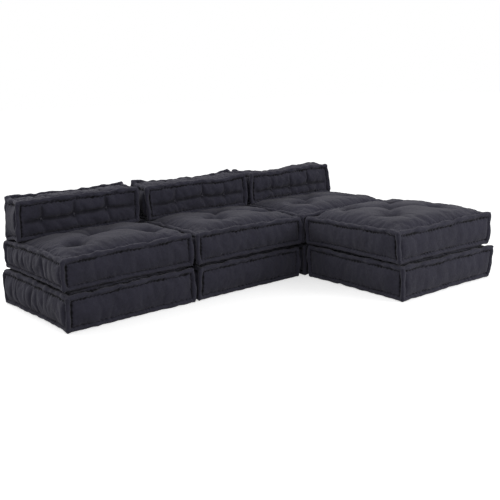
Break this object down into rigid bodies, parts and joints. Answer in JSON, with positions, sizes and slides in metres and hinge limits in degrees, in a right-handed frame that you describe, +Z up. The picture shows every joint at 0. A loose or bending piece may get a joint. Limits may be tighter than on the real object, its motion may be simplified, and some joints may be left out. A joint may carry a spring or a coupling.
{
  "type": "modular pouf sofa",
  "caption": "Modular floor sofa of hand-sewn, tufted cotton mattress cushions: a row of stacked seats with loose backrests, and a stacked ottoman in front of one end.",
  "frame": {"origin": "middle of the whole footprint, on the floor", "axes": "+X runs right along the row of modules, +Y runs to the back, where the backrests stand, +Z runs up"},
  "size_m": [2.1501, 1.4382, 0.5517],
  "materials": {
    "canvas": "matt woven cotton canvas, dark anthracite",
    "cotton": "raw layered cotton fibre",
    "twine": "waxed cotton twine, dark grey"
  },
  "bodies": {
    "left_base": {"left_base_cover": "canvas", "left_base_filling": "cotton", "left_base_ties": "twine"},
    "left_seat": {"left_seat_cover": "canvas", "left_seat_filling": "cotton", "left_seat_ties": "twine"},
    "left_back": {"left_back_cover": "canvas", "left_back_filling": "cotton", "left_back_ties": "twine"},
    "middle_base": {"middle_base_cover": "canvas", "middle_base_filling": "cotton", "middle_base_ties": "twine"},
    "middle_seat": {"middle_seat_cover": "canvas", "middle_seat_filling": "cotton", "middle_seat_ties": "twine"},
    "middle_back": {"middle_back_cover": "canvas", "middle_back_filling": "cotton", "middle_back_ties": "twine"},
    "right_base": {"right_base_cover": "canvas", "right_base_filling": "cotton", "right_base_ties": "twine"},
    "right_seat": {"right_seat_cover": "canvas", "right_seat_filling": "cotton", "right_seat_ties": "twine"},
    "right_back": {"right_back_cover": "canvas", "right_back_filling": "cotton", "right_back_ties": "twine"},
    "ottoman_base": {"ottoman_base_cover": "canvas", "ottoman_base_filling": "cotton", "ottoman_base_ties": "twine"},
    "ottoman_seat": {"ottoman_seat_cover": "canvas", "ottoman_seat_filling": "cotton", "ottoman_seat_ties": "twine"}
  },
  "joints": [
    {"name": "left_module_pull", "type": "slide", "parent": "middle_base", "child": "left_base", "axis": [-1, 0, 0], "range_m": [0, 0.3]},
    {"name": "right_module_pull", "type": "slide", "parent": "middle_base", "child": "right_base", "axis": [1, 0, 0], "range_m": [0, 0.3]},
    {"name": "ottoman_pull", "type": "slide", "parent": "middle_base", "child": "ottoman_base", "axis": [0, -1, 0], "range_m": [0, 0.3]},
    {"name": "left_seat_lift", "type": "slide", "parent": "left_base", "child": "left_seat", "axis": [0, 0, 1], "range_m": [0, 0.25]},
    {"name": "left_back_lift", "type": "slide", "parent": "left_seat", "child": "left_back", "axis": [0, 0, 1], "range_m": [0, 0.25]},
    {"name": "middle_seat_lift", "type": "slide", "parent": "middle_base", "child": "middle_seat", "axis": [0, 0, 1], "range_m": [0, 0.25]},
    {"name": "middle_back_lift", "type": "slide", "parent": "middle_seat", "child": "middle_back", "axis": [0, 0, 1], "range_m": [0, 0.25]},
    {"name": "right_seat_lift", "type": "slide", "parent": "right_base", "child": "right_seat", "axis": [0, 0, 1], "range_m": [0, 0.25]},
    {"name": "right_back_lift", "type": "slide", "parent": "right_seat", "child": "right_back", "axis": [0, 0, 1], "range_m": [0, 0.25]},
    {"name": "ottoman_seat_lift", "type": "slide", "parent": "ottoman_base", "child": "ottoman_seat", "axis": [0, 0, 1], "range_m": [0, 0.25]}
  ]
}
